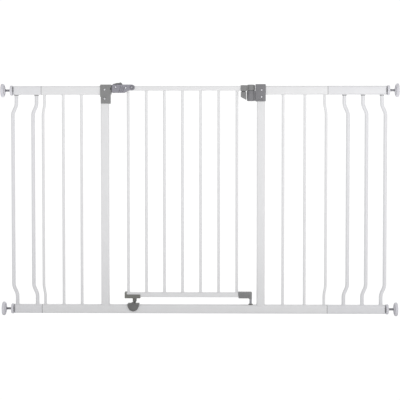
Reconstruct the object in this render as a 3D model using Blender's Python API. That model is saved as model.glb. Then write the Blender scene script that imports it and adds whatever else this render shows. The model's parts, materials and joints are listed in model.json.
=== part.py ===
"""Pressure-mounted safety baby gate: frame, two extensions, lift-and-swing door, wall spindles.

X runs along the gate, -Y is its front, Z is up. The origin is on the floor, midway between the walls.
"""
import math

import bmesh
import bpy
from mathutils import Matrix, Vector

MM = 0.001
GAP = 0.3                    # between two pieces that touch

# --- driving dimensions, in millimetres ---------------------------------------------------------
GATE_HALF_WIDTH = 646.0      # centre to a wall
RAIL_HEIGHT = 28.0
RAIL_DEPTH = 22.0
RAIL_RADIUS = 5.0
RAIL_WALL = 1.2
TOP_RAIL_Z = 736.0           # centre of the top rails
BOTTOM_RAIL_Z = 22.5         # centre of the bottom rails
LEFT_SEAM_X = -514.0
RIGHT_SEAM_X = 416.0
RAIL_END_X = 603.0           # outer end of both extensions

POST_WIDTH = 26.0
LEFT_POST_X = -307.5
RIGHT_POST_X = 200.0

BAR_RADIUS = 4.5
EXTENSION_BAR_RADIUS = 6.0
BAR_WALL = 1.0

DOOR_BAR_COUNT = 7
DOOR_BAR_PITCH = 59.0
DOOR_FIRST_BAR_X = -232.0
DOOR_RAIL_HEIGHT = 15.0
DOOR_RAIL_DEPTH = 18.0
DOOR_RAIL_RADIUS = 3.0
DOOR_TOP_Z = 742.5           # centre of the door's top rail
DOOR_BOTTOM_Z = 69.0         # centre of the door's bottom rail
DOOR_LEFT_X = -246.0
DOOR_RIGHT_X = 148.0

HINGE_X = 167.5
PIN_RADIUS = 4.0
KNUCKLE_RADIUS = 13.0
KNUCKLE_SPLIT_Z = 735.0      # top of the lower knuckle
BOLT_Z = 741.0               # centre of the latch bolt's spring

CUP_RADIUS = 22.5
CUP_THICKNESS = 13.0
NUT_RADIUS = 16.5
NUT_LOBES = 12
ROD_RADIUS = 4.0
ROD_LENGTH = 113.0

ROUND_SIDES = 24
BAR_SIDES = 12


# --- materials ----------------------------------------------------------------------------------
def make_material(name, colour, roughness, metallic=0.0):
    material = bpy.data.materials.new(name)
    material.use_nodes = True
    shader = material.node_tree.nodes["Principled BSDF"]
    shader.inputs["Base Color"].default_value = (*colour, 1.0)
    shader.inputs["Roughness"].default_value = roughness
    shader.inputs["Metallic"].default_value = metallic
    return material


# --- general shapes -----------------------------------------------------------------------------
def add_object(name, mesh, material, parent=None):
    """Link a mesh as an object; its vertices are in world millimetres until they are scaled here."""
    mesh.transform(Matrix.Scale(MM, 4))
    body = bpy.data.objects.new(name, mesh)
    bpy.context.scene.collection.objects.link(body)
    mesh.materials.append(material)
    mesh.shade_smooth()
    mesh.set_sharp_from_angle(angle=math.radians(35))
    if parent:
        body.parent = parent
        body.matrix_parent_inverse = parent.matrix_world.inverted()
    return body


def add_pivot(name, location):
    """An empty on a joint's axis."""
    pivot = bpy.data.objects.new(name, None)
    pivot.location = Vector(location) * MM
    bpy.context.scene.collection.objects.link(pivot)
    bpy.context.view_layer.update()
    return pivot


def finish_mesh(name, bm):
    bmesh.ops.remove_doubles(bm, verts=bm.verts, dist=0.001)
    bmesh.ops.recalc_face_normals(bm, faces=bm.faces)
    mesh = bpy.data.meshes.new(name)
    bm.to_mesh(mesh)
    bm.free()
    return mesh


def ring_mesh(name, rings, closed):
    """Skin a list of rings of points; closed joins the last ring to the first, else both ends cap."""
    bm = bmesh.new()
    loops = [[bm.verts.new(point) for point in ring] for ring in rings]
    sides = len(rings[0])
    pairs = list(zip(loops, loops[1:]))
    if closed:
        pairs.append((loops[-1], loops[0]))
    for near, far in pairs:
        for i in range(sides):
            j = (i + 1) % sides
            bm.faces.new((near[i], near[j], far[j], far[i]))
    if not closed:
        bm.faces.new(loops[0])
        bm.faces.new(loops[-1])
    return finish_mesh(name, bm)


def rounded_outline(half_a, half_b, radius, steps=3):
    """The points of a rounded rectangle."""
    points = []
    for quarter in range(4):
        sign_a = (1, -1, -1, 1)[quarter]
        sign_b = (1, 1, -1, -1)[quarter]
        for step in range(steps + 1):
            angle = math.pi / 2 * (quarter + step / steps)
            points.append((sign_a * (half_a - radius) + radius * math.cos(angle),
                           sign_b * (half_b - radius) + radius * math.sin(angle)))
    return points


def rail_ring(x, z, height, depth, radius, inset):
    """A rounded rectangle across a rail at x, drawn in from the rail's outside by inset."""
    outline = rounded_outline(depth / 2 - inset, height / 2 - inset, max(radius - inset, 0.5))
    return [(x, a, z + b) for a, b in outline]


def rail_tube(name, x0, x1, z, height=RAIL_HEIGHT, depth=RAIL_DEPTH, radius=RAIL_RADIUS):
    """A hollow rounded rail, open at both ends."""
    rings = [rail_ring(x, z, height, depth, radius, inset)
             for x, inset in ((x0, 0), (x1, 0), (x1, RAIL_WALL), (x0, RAIL_WALL))]
    return ring_mesh(name, rings, closed=True)


def round_tube(name, path, radius, wall):
    """A hollow bar whose centre follows path, a list of (x, z) from bottom to top."""
    def ring(x, z, r):
        return [(x + r * math.cos(a), r * math.sin(a), z)
                for a in (math.tau * i / BAR_SIDES for i in range(BAR_SIDES))]
    outside = [ring(x, z, radius) for x, z in path]
    inside = [ring(x, z, radius - wall) for x, z in reversed(path)]
    return ring_mesh(name, outside + inside, closed=True)


def turned(name, profile, place, axis="Z", sides=ROUND_SIDES, lobes=0, lobe_height=0.0):
    """A closed (radius, along) profile turned about an axis through place."""
    bm = bmesh.new()
    centre = Vector(place)
    axis_vector = Vector((1, 0, 0)) if axis == "X" else Vector((0, 0, 1))
    across = Vector((0, 1, 0))
    third = axis_vector.cross(across)

    def point(radius, along, angle, fluted):
        swell = lobe_height * (1 + math.cos(lobes * angle)) / 2 if fluted else 0.0
        out = (across * math.cos(angle) + third * math.sin(angle)) * (radius - swell)
        return centre + axis_vector * along + out

    rings = []
    for radius, along, *fluted in profile:
        if radius == 0:
            rings.append([bm.verts.new(centre + axis_vector * along)])
            continue
        rings.append([bm.verts.new(point(radius, along, math.tau * i / sides, bool(fluted)))
                      for i in range(sides)])
    for near, far in zip(rings, rings[1:] + rings[:1]):
        if len(near) == 1 and len(far) == 1:
            continue
        for i in range(sides):
            j = (i + 1) % sides
            corners = [near[i % len(near)], near[j % len(near)], far[j % len(far)], far[i % len(far)]]
            bm.faces.new(list(dict.fromkeys(corners)))
    return finish_mesh(name, bm)


def slab(name, outline, low, high, across="Y"):
    """An outline extruded between low and high: (x, z) points across Y, (y, z) points across X."""
    def place(a, b, along):
        return (a, along, b) if across == "Y" else (along, a, b)
    return ring_mesh(name, [[place(a, b, along) for a, b in outline] for along in (low, high)],
                     closed=False)


def box(name, x, y, z):
    """A plain block from three (low, high) pairs."""
    return slab(name, [(x[0], z[0]), (x[1], z[0]), (x[1], z[1]), (x[0], z[1])], *y)


def arc(centre, radius, start, end, steps):
    """Points round centre from start to end degrees."""
    angles = [math.radians(start + (end - start) * i / steps) for i in range(steps + 1)]
    return [(centre[0] + radius * math.cos(a), centre[1] + radius * math.sin(a)) for a in angles]


def combine(base, others, operation):
    """Apply one Boolean per mesh in others to the mesh base, and return the result."""
    body = bpy.data.objects.new("work", base)
    bpy.context.scene.collection.objects.link(body)
    for other in others:
        tool = bpy.data.objects.new("tool", other)
        bpy.context.scene.collection.objects.link(tool)
        cut = body.modifiers.new(operation.title(), "BOOLEAN")
        cut.operation = operation
        cut.object = tool
        bpy.context.view_layer.update()
        result = bpy.data.meshes.new_from_object(body.evaluated_get(bpy.context.evaluated_depsgraph_get()))
        body.modifiers.clear()
        body.data = result
        bpy.data.objects.remove(tool)
    mesh = body.data
    bpy.data.objects.remove(body)
    return mesh


def soften(mesh, width=0.8):
    """Round a plain body's edges slightly before anything is cut from it."""
    bm = bmesh.new()
    bm.from_mesh(mesh)
    sharp = [e for e in bm.edges if len(e.link_faces) == 2 and e.calc_face_angle() > math.radians(40)]
    bmesh.ops.bevel(bm, geom=sharp, offset=width, segments=1, affect="EDGES", clamp_overlap=True)
    return finish_mesh(mesh.name, bm)


# --- frame --------------------------------------------------------------------------------------
def rail_underside(z):
    return z - RAIL_HEIGHT / 2


def rail_top(z):
    return z + RAIL_HEIGHT / 2


def kinked_path(x, offset, z0, z1, towards_centre):
    """A bar that leaves both rails offset to one side, then bends out to x and runs straight."""
    lead = 26.0
    bend = 42.0
    steps = 5
    start = x + offset * towards_centre
    half = [(start, z0), (start, z0 + lead)]
    for i in range(1, steps + 1):
        share = i / steps
        half.append((start + (x - start) * (1 - math.cos(math.pi * share)) / 2, z0 + lead + bend * share))
    return half + [(a, z0 + z1 - b) for a, b in reversed(half)]


def make_frame(white):
    low = rail_top(BOTTOM_RAIL_Z) + GAP
    high = rail_underside(TOP_RAIL_Z) - GAP
    half_post = POST_WIDTH / 2

    bottom = rail_tube("bottom_rail", LEFT_SEAM_X, RIGHT_SEAM_X, BOTTOM_RAIL_Z)
    bush_hole = turned("bush_hole", [(0, -4), (5.5, -4), (5.5, 6), (0, 6)],
                       (HINGE_X, 0, rail_top(BOTTOM_RAIL_Z)))
    add_object("bottom_rail", combine(bottom, [bush_hole], "DIFFERENCE"), white)

    for name, x in (("left_post", LEFT_POST_X), ("right_post", RIGHT_POST_X)):
        rings = [[(x + a, b, z) for a, b in
                  rounded_outline(half_post - inset, RAIL_DEPTH / 2 - inset, 4.0 - inset)]
                 for z, inset in ((low, 0), (rail_top(TOP_RAIL_Z), 0),
                                  (rail_top(TOP_RAIL_Z), RAIL_WALL), (low, RAIL_WALL))]
        add_object(name, ring_mesh(name, rings, closed=True), white)

    left_inner = LEFT_POST_X - half_post - GAP
    right_inner = RIGHT_POST_X + half_post + GAP
    add_object("left_top_rail", rail_tube("left_top_rail", LEFT_SEAM_X, left_inner, TOP_RAIL_Z), white)
    add_object("right_top_rail", rail_tube("right_top_rail", right_inner, RIGHT_SEAM_X, TOP_RAIL_Z), white)

    straight = {"left_bar_1": -444.0, "left_bar_2": -384.5, "right_bar_1": 272.0, "right_bar_2": 342.5}
    for name, x in straight.items():
        tube = round_tube(name, [(x, low), (x, high)], BAR_RADIUS, BAR_WALL)
        add_object(name, tube, white)
    for name, x, side in (("left_kinked_bar", -510.0, 1), ("right_kinked_bar", 411.5, -1)):
        path = kinked_path(x, 5.0, low, high, side)
        add_object(name, round_tube(name, path, BAR_RADIUS, BAR_WALL), white)


# --- extensions ---------------------------------------------------------------------------------
def extension_rail(name, seam, end, z):
    """A rail with a reduced stub, in one piece, that slides into the frame's rail past the seam."""
    inward = 1 if seam > end else -1
    stub_inset = RAIL_WALL + GAP
    stub_wall = 1.5
    start = seam - GAP * inward
    stub_end = seam + 20.0 * inward
    root = seam - 20.0 * inward
    steps = [(end, 0), (start, 0), (start, stub_inset), (stub_end, stub_inset),
             (stub_end, stub_inset + stub_wall), (root, stub_inset + stub_wall),
             (root, RAIL_WALL), (end, RAIL_WALL)]
    rings = [rail_ring(x, z, RAIL_HEIGHT, RAIL_DEPTH, RAIL_RADIUS, inset) for x, inset in steps]
    return ring_mesh(name, rings, closed=True)


def make_extension(side, seam, bar_places, white):
    inward = 1 if seam < 0 else -1
    end = -RAIL_END_X * inward
    low = rail_top(BOTTOM_RAIL_Z) + GAP
    high = rail_underside(TOP_RAIL_Z) - GAP
    for level, z in (("top", TOP_RAIL_Z), ("bottom", BOTTOM_RAIL_Z)):
        name = f"{side}_extension_{level}_rail"
        add_object(name, extension_rail(name, seam, end, z), white)
    for number, x in enumerate(bar_places, start=1):
        name = f"{side}_extension_bar_{number}"
        path = kinked_path(x, 12.0, low, high, inward)
        add_object(name, round_tube(name, path, EXTENSION_BAR_RADIUS, BAR_WALL), white)


# --- wall pressure units ------------------------------------------------------------------------
def make_wall_unit(corner, side, z, plastic, zinc, white):
    """End cap, threaded rod, hand nut and wall cup; side is -1 at the left wall and 1 at the right."""
    wall = GATE_HALF_WIDTH * side

    def from_wall(profile):
        return [(radius, -side * depth, *rest) for radius, depth, *rest in profile]

    pivot = add_pivot(f"{corner}_axis", (wall, 0, z))
    cup_inner = CUP_THICKNESS
    cup = from_wall([(0, 0), (20.5, 0), (CUP_RADIUS, 2.0), (CUP_RADIUS, 9.0), (21.0, 11.5),
                     (17.5, cup_inner), (12.0, cup_inner), (10.5, 11.0), (8.5, 11.0),
                     (8.0, cup_inner), (ROD_RADIUS + GAP, cup_inner), (ROD_RADIUS + GAP, 6.0), (0, 6.0)])
    add_object(f"{corner}_wall_cup", turned(f"{corner}_wall_cup", cup, (wall, 0, z), "X"), plastic, pivot)

    rod_end = 6.0 + GAP
    rod = from_wall([(0, rod_end), (ROD_RADIUS - 0.8, rod_end), (ROD_RADIUS, rod_end + 0.8),
                     (ROD_RADIUS, rod_end + ROD_LENGTH - 0.8),
                     (ROD_RADIUS - 0.8, rod_end + ROD_LENGTH), (0, rod_end + ROD_LENGTH)])
    add_object(f"{corner}_spindle", turned(f"{corner}_spindle", rod, (wall, 0, z), "X"), zinc, pivot)

    nut_out = GATE_HALF_WIDTH - RAIL_END_X - 13.4
    nut_in = nut_out + 11.0
    bore = ROD_RADIUS + 0.25
    nut = from_wall([(bore, nut_out), (7.5, nut_out), (8.0, nut_out + 1.2), (15.0, nut_out + 1.2),
                     (NUT_RADIUS, nut_out + 2.6, 1), (NUT_RADIUS, nut_in - 1.2, 1),
                     (15.0, nut_in), (bore, nut_in)])
    nut_mesh = turned(f"{corner}_hand_nut", nut, (wall, 0, z), "X", 3 * NUT_LOBES, NUT_LOBES, 1.0)
    add_object(f"{corner}_hand_nut", nut_mesh, plastic, pivot)

    def cap_ring(depth, inset):
        return rail_ring(wall - side * depth, z, RAIL_HEIGHT, RAIL_DEPTH, RAIL_RADIUS, inset)

    face = GATE_HALF_WIDTH - RAIL_END_X - 2.0
    seat = GATE_HALF_WIDTH - RAIL_END_X - GAP
    plug_inset = RAIL_WALL + GAP
    cap = ring_mesh("cap", [cap_ring(face, 0), cap_ring(seat, 0), cap_ring(seat, plug_inset),
                            cap_ring(seat + 9.0, plug_inset)], closed=False)
    hole_profile = from_wall([(0, face - 5), (4.4, face - 5), (4.4, face + 20), (0, face + 20)])
    hole = turned("hole", hole_profile, (wall, 0, z), "X")
    add_object(f"{corner}_rail_end_cap", combine(cap, [hole], "DIFFERENCE"), white)


# --- door ---------------------------------------------------------------------------------------
def make_door_bars(white, door):
    rail = (DOOR_RAIL_HEIGHT, DOOR_RAIL_DEPTH, DOOR_RAIL_RADIUS)
    top = rail_tube("door_top_rail", DOOR_LEFT_X, DOOR_RIGHT_X, DOOR_TOP_Z, *rail)
    add_object("door_top_rail", top, white, door)
    bottom = rail_tube("door_bottom_rail", DOOR_LEFT_X + 8.3, DOOR_RIGHT_X, DOOR_BOTTOM_Z, *rail)
    add_object("door_bottom_rail", bottom, white, door)
    low = DOOR_BOTTOM_Z + DOOR_RAIL_HEIGHT / 2 + GAP
    high = DOOR_TOP_Z - DOOR_RAIL_HEIGHT / 2 - GAP
    for number in range(DOOR_BAR_COUNT):
        name = f"door_bar_{number + 1}"
        x = DOOR_FIRST_BAR_X + number * DOOR_BAR_PITCH
        add_object(name, round_tube(name, [(x, low), (x, high)], BAR_RADIUS, BAR_WALL), white, door)


def housing_outline():
    """The latch housing from the front: flat underside, a slope up, and a round eye at its right end."""
    eye = (-219.0, 745.1)
    return ([(-284.0, 728.2), (-245.0, 728.2), (-231.0, 734.6)]
            + arc(eye, 9.5, -112, 90, 9) + [(-284.0, 754.6)])


def make_latch(grey, steel, door, latch):
    housing = slab("latch_housing", housing_outline(), -13.0, 10.0)
    cuts = [box("bolt_chamber", (-281.5, -249.2), (-4.4, 12), (736.9, 751.6)),
            box("rail_socket", (-246.4, -200), (-9.3, 12), (715, 750.3)),
            box("bolt_mouth", (-290, -280), (-4.3, 4.3), (736.9, 745.0)),
            box("slider_slot", (-274.6, -261.4), (-3.3, 3.3), (748, 760))]
    add_object("latch_housing", combine(housing, cuts, "DIFFERENCE"), grey, door)
    cover = slab("latch_back_cover", housing_outline(), 10.0 + GAP, 13.0)
    add_object("latch_back_cover", cover, grey, door)

    bolt = box("latch_bolt", (-288.5, -264.0), (-4.0, 4.0), (BOLT_Z - 3.6, BOLT_Z + 2.9))
    pocket = box("pocket", (-274.4, -267.6), (-3.2, 3.2), (741.0, 748.0))
    add_object("latch_bolt", combine(soften(bolt, 0.5), [pocket], "DIFFERENCE"), steel, latch)

    thumb = slab("latch_slider", [(-281.0, 755.1), (-251.0, 755.1), (-251.0, 757.6), (-254.5, 761.4),
                                  (-257.5, 761.9), (-260.5, 760.4), (-269.0, 759.8), (-279.0, 757.2)],
                 -7.5, 7.5)
    stem = box("stem", (-274.0, -268.0), (-2.9, 2.9), (741.4, 757.0))
    add_object("latch_slider", combine(thumb, [stem], "UNION"), grey, latch)
    spring = coil("latch_spring", 3.0, 0.45, 5, -263.0, -249.8)
    spring.transform(Matrix.Translation((0, 0, BOLT_Z)) @ Matrix.Rotation(math.pi / 2, 4, "Y"))
    add_object("latch_spring", spring, steel, latch)


def coil(name, radius, wire, turns, start, end):
    """A helical spring round Z from start to end, with round wire and capped ends."""
    steps_per_turn = 10
    wire_sides = 5
    total = turns * steps_per_turn
    rings = []
    for i in range(total + 1):
        angle = math.tau * i / steps_per_turn
        z = start + wire + (end - start - 2 * wire) * i / total
        out = Vector((math.cos(angle), math.sin(angle), 0))
        centre = out * radius + Vector((0, 0, z))
        rings.append([centre + wire * (out * math.cos(b) + Vector((0, 0, math.sin(b))))
                      for b in (math.tau * k / wire_sides for k in range(wire_sides))])
    return ring_mesh(name, rings, closed=False)


def knuckle(name, z0, z1, hollow):
    """A hinge barrel from z0 to z1; hollow is the profile of its inside, from the bottom up."""
    edge = 1.0
    outside = [(KNUCKLE_RADIUS - edge, z0), (KNUCKLE_RADIUS, z0 + edge),
               (KNUCKLE_RADIUS, z1 - edge), (KNUCKLE_RADIUS - edge, z1)]
    return turned(name, outside + hollow[::-1], (HINGE_X, 0, 0), sides=32)


def make_hinge(grey, steel, door, swing):
    """The upper knuckle on the door, the lower knuckle on the post, and the pin through both."""
    bore = PIN_RADIUS + 0.1
    upper_low, upper_high = KNUCKLE_SPLIT_Z + 0.5, 754.0
    arm = soften(box("arm", (134.0, 153.6), (-12.0, 12.0), (733.2, 752.3)))
    link = box("link", (151.0, 157.5), (-9.5, 9.5), (upper_low + 0.6, 751.4))
    stop = slab("stop", [(134.6, 714.5), (152.5, 705.0), (152.5, 735.0), (134.6, 735.0)], -10.0, 10.0)
    socket = box("socket", (130.0, 148.4), (-9.3, 9.3), (734.7, 750.3))
    arm = combine(arm, [socket], "DIFFERENCE")
    blind_bore = [(bore, upper_low), (bore, 750.9), (0, 750.9), (0, upper_high)]
    upper = combine(knuckle("hinge_knuckle", upper_low, upper_high, blind_bore),
                    [link, arm, soften(stop)], "UNION")
    add_object("hinge_knuckle", upper, grey, door)

    saddle = soften(box("hinge_bracket", (182.3, 215.0), (-13.5, 13.5), (699.8, 755.5)))
    post_slot = box("post_slot", (186.7, 225.0), (-11.3, 11.3), (690.0, 750.4))
    web = box("web", (177.2, 184.0), (-10.0, 10.0), (702.6, KNUCKLE_SPLIT_Z - 1.2))
    spring_room = [(9.5, 701.4), (9.5, 731.0), (bore, 731.0), (bore, KNUCKLE_SPLIT_Z)]
    lower = combine(combine(saddle, [post_slot], "DIFFERENCE"),
                    [web, knuckle("barrel", 701.4, KNUCKLE_SPLIT_Z, spring_room)], "UNION")
    add_object("hinge_bracket", lower, grey)

    pin = turned("hinge_pin", [(0, 702.0), (8.6, 702.0), (8.6, 704.0), (PIN_RADIUS, 704.0),
                               (PIN_RADIUS, 749.5), (PIN_RADIUS - 0.8, 750.3), (0, 750.3)],
                 (HINGE_X, 0, 0), sides=32)
    add_object("hinge_pin", pin, steel, swing)
    spring = coil("closer_spring", 6.8, 0.7, 6, 705.0, 730.0)
    spring.transform(Matrix.Translation((HINGE_X, 0, 0)))
    add_object("closer_spring", spring, steel)


def make_bottom_hinge(grey, steel, door):
    cap = soften(box("bottom_hinge_bracket", (127.0, 171.5), (-11.0, 11.0), (57.0, 78.2)))
    socket = box("socket", (120.0, 148.4), (-9.3, 9.3), (61.2, 76.8))
    pin_hole = turned("pin_hole", [(0, 50), (4.1, 50), (4.1, 71), (0, 71)], (HINGE_X, 0, 0))
    add_object("bottom_hinge_bracket", combine(cap, [socket, pin_hole], "DIFFERENCE"), grey, door)
    pin = turned("pivot_pin", [(0, 25.0), (2.8, 25.0), (3.8, 26.5), (3.8, 70.6), (0, 70.6)],
                 (HINGE_X, 0, 0), sides=32)
    add_object("pivot_pin", pin, steel, door)
    rim = rail_top(BOTTOM_RAIL_Z) + GAP
    bush = turned("pivot_bushing", [(3.9, 29.0), (5.2, 29.0), (5.2, rim), (7.5, rim), (7.5, rim + 1.6),
                                    (6.5, rim + 2.6), (3.9, rim + 2.6)], (HINGE_X, 0, 0), sides=32)
    add_object("pivot_bushing", bush, grey)


def make_bottom_lock(grey, door):
    """The channel under the door's bottom rail with its stem, and the catch it stands over."""
    outline = [(-244.0, 58.0), (-193.0, 58.0), (-193.0, 70.2), (-238.0, 70.2), (-238.0, 78.0),
               (-244.0, 78.0)]
    channel = soften(slab("bottom_lock_bracket", outline, -11.5, 11.5), 0.6)
    stem = turned("stem", [(0, 43.5), (1.5, 43.5), (6.5, 48.0), (6.5, 60.0), (0, 60.0)], (-212.0, 0, 0))
    rail_room = box("rail_room", (-238.0, -180.0), (-9.3, 9.3), (61.2, 90.0))
    bracket = combine(combine(channel, [stem], "UNION"), [rail_room], "DIFFERENCE")
    add_object("bottom_lock_bracket", bracket, grey, door)

    deck = rail_top(BOTTOM_RAIL_Z) + GAP
    saddle = slab("bottom_catch", [(-14.8, 12.0), (-11.3, 12.0), (-11.3, deck), (11.3, deck),
                                   (11.3, 12.0), (14.8, 12.0), (14.8, 41.0), (12.8, 43.0),
                                   (-12.8, 43.0), (-14.8, 41.0)], -240.0, -190.0, across="X")
    shield = slab("shield", [(-235.0, 40.0), (-234.4, 31.0), (-228.5, 20.5), (-220.0, 14.6)]
                  + [(-212.0, 14.6), (-203.5, 20.5), (-197.6, 31.0), (-197.0, 40.0)]
                  + [(-208.0, 40.0), (-210.5, 43.5), (-221.5, 43.5), (-224.0, 40.0)], -20.0, 20.0)
    add_object("bottom_catch", combine(saddle, [shield], "INTERSECT"), grey)


# --- keeper on the left post --------------------------------------------------------------------
def make_keeper(grey):
    outline = [(-322.0, 693.0), (-291.0, 693.0), (-291.0, 721.0), (-286.0, 731.0), (-286.0, 754.6),
               (-322.0, 754.6)]
    saddle = soften(slab("keeper_bracket", outline, -13.5, 13.5))
    notch_x = (-289.1, -280.0)
    cuts = [box("post_slot", (-330.0, -294.2), (-11.3, 11.3), (680.0, 750.4)),
            box("swing_notch", notch_x, (-20.0, 20.0), (BOLT_Z - 4.2, BOLT_Z + 3.4)),
            box("bolt_seat", notch_x, (-6.0, 6.0), (BOLT_Z - 6.0, BOLT_Z)),
            box("lift_room", notch_x, (-4.4, 4.4), (BOLT_Z, BOLT_Z + 9.6))]
    add_object("keeper_bracket", combine(saddle, cuts, "DIFFERENCE"), grey)


def build():
    for old in list(bpy.data.objects):
        bpy.data.objects.remove(old)
    white = make_material("white_powder_coat", (0.80, 0.80, 0.80), 0.38)
    grey = make_material("grey_plastic", (0.25, 0.25, 0.26), 0.45)
    lilac = make_material("pale_lilac_plastic", (0.68, 0.67, 0.74), 0.35)
    zinc = make_material("dark_zinc", (0.12, 0.12, 0.13), 0.4, 1.0)

    make_frame(white)
    make_extension("left", LEFT_SEAM_X, (-543.0, -608.8), white)
    make_extension("right", RIGHT_SEAM_X, (482.3, 542.6, 603.5), white)
    for side_name, side in (("left", -1), ("right", 1)):
        for level, z in (("top", TOP_RAIL_Z), ("bottom", BOTTOM_RAIL_Z)):
            make_wall_unit(f"{side_name}_{level}", side, z, lilac, zinc, white)

    swing = add_pivot("door_swing_axis", (HINGE_X, 0, 0))
    door = add_pivot("door_lift_axis", (HINGE_X, 0, 0))
    latch = add_pivot("latch_slide_axis", (-264.0, 0, BOLT_Z))
    make_door_bars(white, door)
    make_latch(grey, zinc, door, latch)
    make_hinge(grey, zinc, door, swing)
    make_bottom_hinge(grey, zinc, door)
    make_bottom_lock(grey, door)
    make_keeper(grey)


build()
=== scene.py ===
"""Pressure-mounted safety baby gate: the visible pieces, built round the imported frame.

Shapes are modelled in millimetres and scaled to metres when they are finished. X runs along the gate,
-Y is its front and Z is up.
"""
import json
import math

import bmesh
import bpy
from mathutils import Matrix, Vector


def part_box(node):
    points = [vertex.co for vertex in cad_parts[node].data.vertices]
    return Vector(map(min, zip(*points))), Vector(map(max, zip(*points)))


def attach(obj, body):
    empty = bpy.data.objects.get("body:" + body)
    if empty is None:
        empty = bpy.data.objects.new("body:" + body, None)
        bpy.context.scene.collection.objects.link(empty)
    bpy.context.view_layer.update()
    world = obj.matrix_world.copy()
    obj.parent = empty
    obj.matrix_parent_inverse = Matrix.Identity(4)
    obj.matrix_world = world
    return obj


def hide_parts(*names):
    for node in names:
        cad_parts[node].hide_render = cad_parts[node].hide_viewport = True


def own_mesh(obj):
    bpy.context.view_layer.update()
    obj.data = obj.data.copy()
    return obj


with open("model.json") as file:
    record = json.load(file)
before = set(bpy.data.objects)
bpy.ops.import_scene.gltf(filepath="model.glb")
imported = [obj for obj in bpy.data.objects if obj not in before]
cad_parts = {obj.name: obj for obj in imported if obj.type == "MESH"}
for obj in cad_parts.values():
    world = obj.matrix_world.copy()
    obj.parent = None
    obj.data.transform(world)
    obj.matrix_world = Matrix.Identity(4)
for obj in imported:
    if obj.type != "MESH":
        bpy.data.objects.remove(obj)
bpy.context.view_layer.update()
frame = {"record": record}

MM = 0.001
BODIES = frame["record"]["behaviour"]["bodies"]
BODY_OF = {node: body for body, nodes in BODIES.items() for node in nodes}
QUARTER = math.pi / 2
TURN_TO = {"Z": (0, 0, 0), "X": (0, QUARTER, 0), "-Y": (QUARTER, 0, 0), "Y": (-QUARTER, 0, 0)}

# --- sizes, in millimetres ----------------------------------------------------------------------
RAIL_CORNER = 5.0
POST_CORNER = 4.0
DOOR_RAIL_CORNER = 3.0
TUBE_WALL = 1.2
ROLLED_RIM = 1.4             # rim of a rail at a seam
PLAIN_RIM = 0.4
STUB_STEP = 2.8              # how much thinner a push-in stub is than its rail
COPE = 3.0                   # how far a rail is let into its post
SHADE_STRIP_HALF = 1.1            # half the width of the dark strip at a seam, painted shade for the seam's gap
SHADE_STRIP_INSET = 0.3
BAR_RADIUS = 4.5
EXTENSION_BAR_RADIUS = 6.0
KINK_LEAD = 26.0
KINK_BEND = 42.0
WELD_TOE = ((1.5, -0.5), (1.3, 0.4), (0.7, 1.1), (0.25, 2.0), (0.0, 3.2))
THREAD_LEAD = 1.25
EYE = (-219.0, 745.1)        # middle of the round eye at the end of the latch housing
RAIL_ROOM = 11.2             # half the depth cut out for a rail or post of the frame
DOOR_RAIL_ROOM = 9.4         # half the depth cut out for a rail of the door
BOLT_ROOM = 4.4              # half the depth cut out for the latch bolt
BOLT_Z = 741.0
HINGE_SPLIT = 735.0          # height at which the two hinge knuckles meet
PIN_BORE = 4.1               # radius of the holes for the hinge pin and the pivot pin
BUSH_BORE = 5.4              # radius of the hole for the pivot bush in the bottom rail
SPINDLE_BORE = 4.4
CAP_FACE, CAP_BACK = 41.0, 42.7    # the end cap's flange, as far from the wall
PIVOT_X = 167.5
LOCK_X = -212.0
CATCH_MIDDLE = (-216.0, 31.0)      # point that the catch's groove shrinks towards
SMOOTH_ANGLE = 32            # in degrees


def span(node):
    """A node's low and high corners in millimetres."""
    return [Vector(corner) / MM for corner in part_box(node)]


# --- selecting and shaping ----------------------------------------------------------------------
def select_only(*pieces):
    bpy.ops.object.select_all(action="DESELECT")
    for piece in pieces:
        piece.select_set(True)
    bpy.context.view_layer.objects.active = pieces[0]


def edit(piece, everything=False):
    """Enter edit mode with corners picked, as face mode would find nothing to pick on an open ring."""
    select_only(piece)
    bpy.ops.object.mode_set(mode="EDIT")
    bpy.ops.mesh.select_mode(type="VERT")
    bpy.ops.mesh.select_all(action="SELECT" if everything else "DESELECT")


def leave():
    bpy.ops.object.mode_set(mode="OBJECT")


def pick(piece, kind, wanted):
    """In edit mode, select the corners, edges or faces that wanted accepts."""
    bpy.ops.mesh.select_mode(type=kind)
    bpy.ops.mesh.select_all(action="DESELECT")
    shape = bmesh.from_edit_mesh(piece.data)
    for part in {"VERT": shape.verts, "EDGE": shape.edges, "FACE": shape.faces}[kind]:
        if wanted(part):
            part.select_set(True)
    bmesh.update_edit_mesh(piece.data)


def along(axis):
    """Accepts edges that run along an axis."""
    def wanted(edge):
        way = edge.verts[1].co - edge.verts[0].co
        return abs(way[axis]) > 0.9 * way.length
    return wanted


def at(axis, place, near=0.01):
    """Accepts edges and faces that lie wholly at one place along an axis."""
    return lambda part: all(abs(vert.co[axis] - place) < near for vert in part.verts)


def move(piece, place, turn=(0, 0, 0)):
    select_only(piece)
    piece.rotation_euler = turn
    piece.location = place
    bpy.ops.object.transform_apply(location=True, rotation=True, scale=True)
    return piece


def copy_of(piece):
    select_only(piece)
    bpy.ops.object.duplicate(linked=False)
    return bpy.context.object


def join(pieces):
    select_only(*pieces)
    bpy.ops.object.join()
    return pieces[0]


def modify(piece, kind, **settings):
    select_only(piece)
    modifier = piece.modifiers.new(kind.title(), kind)
    for key, value in settings.items():
        setattr(modifier, key, value)
    bpy.ops.object.modifier_apply(modifier=modifier.name)
    return piece


def soften(piece, width, segments=2, angle=35):
    return modify(piece, "BEVEL", width=width, segments=segments, limit_method="ANGLE",
                  angle_limit=math.radians(angle))


def merge(piece):
    edit(piece, everything=True)
    bpy.ops.mesh.remove_doubles(threshold=0.002)
    bpy.ops.mesh.normals_make_consistent(inside=False)
    leave()
    return piece


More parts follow.
